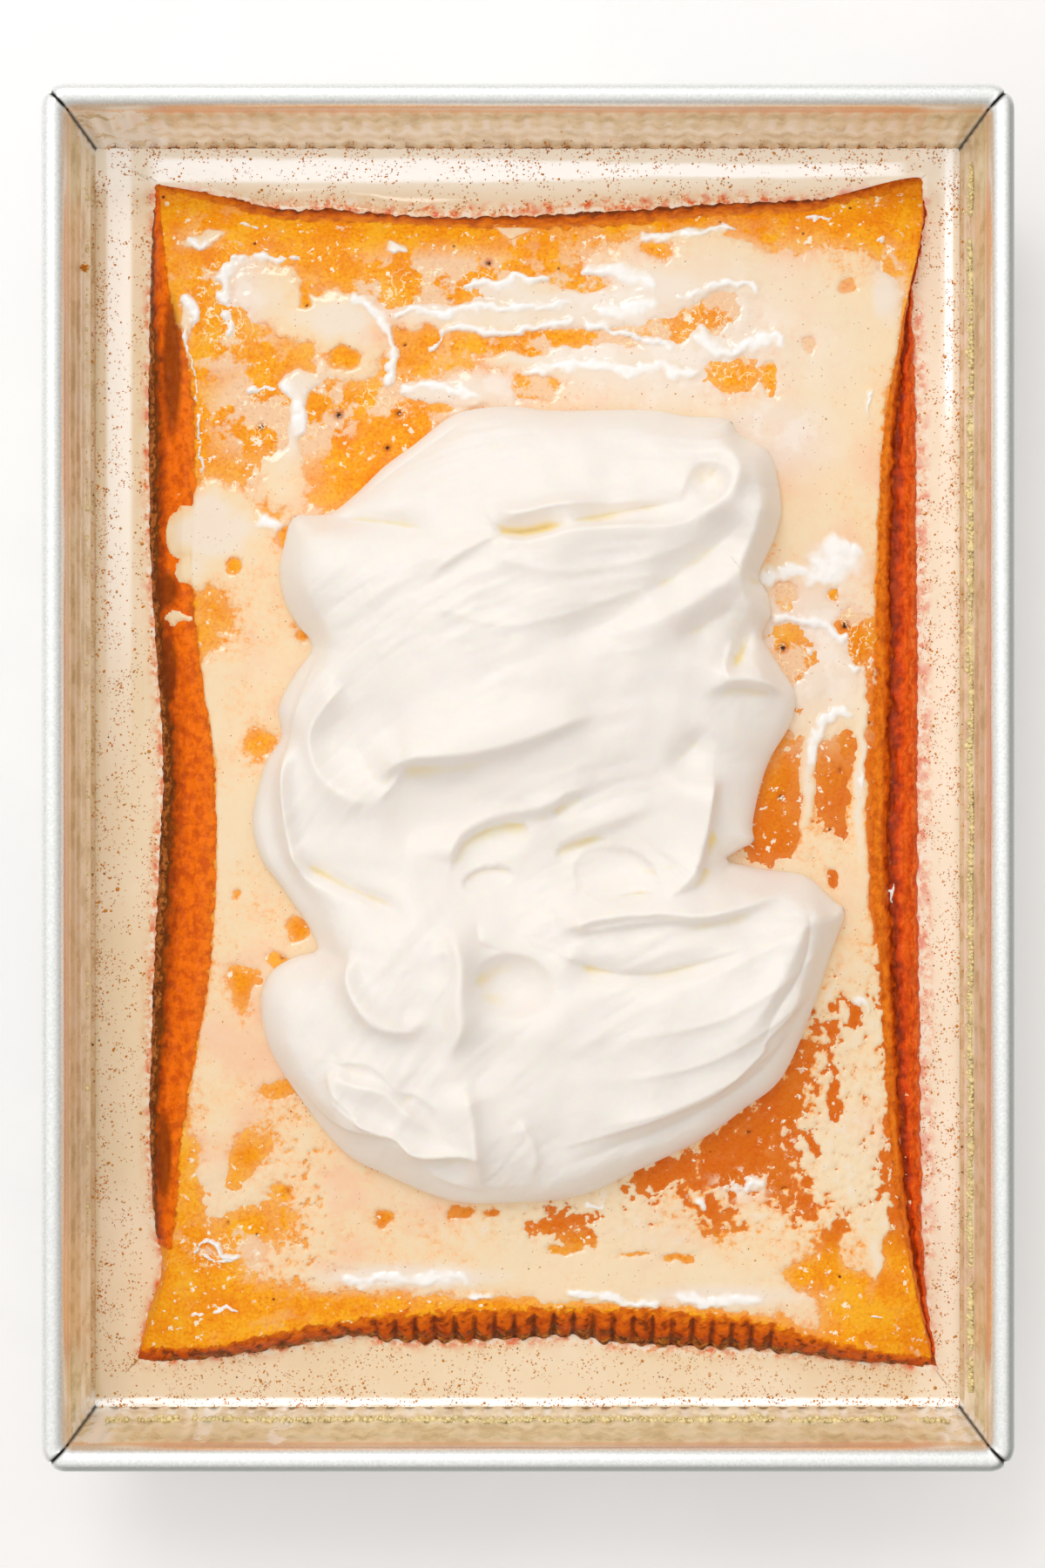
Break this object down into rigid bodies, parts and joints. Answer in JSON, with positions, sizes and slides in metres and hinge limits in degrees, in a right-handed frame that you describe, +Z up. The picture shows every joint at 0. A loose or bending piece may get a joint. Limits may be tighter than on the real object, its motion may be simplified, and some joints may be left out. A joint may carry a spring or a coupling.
{
  "type": "sheet cake",
  "caption": "Milk-soaked sheet cake standing in a pool of milk in its oblong metal baking pan, with an unspread heap of whipped cream dropped on its top.",
  "frame": {"origin": "middle of the underside of the pan, on the surface that it stands on", "axes": "+Z up, +Y along the long side towards the edge that is at the top of the picture, +X to the right in the picture"},
  "size_m": [0.249, 0.355, 0.059],
  "materials": {
    "pan": "satin ribbed sheet with a rolled rim",
    "milk": "wet, cream coloured, flecked with cinnamon",
    "cake": "soaked sponge, orange-yellow with a browned edge",
    "whipped_cream": "soft satin white"
  },
  "bodies": {
    "root": {"pan": "pan", "milk": "milk", "cake": "cake", "whipped_cream": "whipped_cream"}
  },
  "joints": []
}
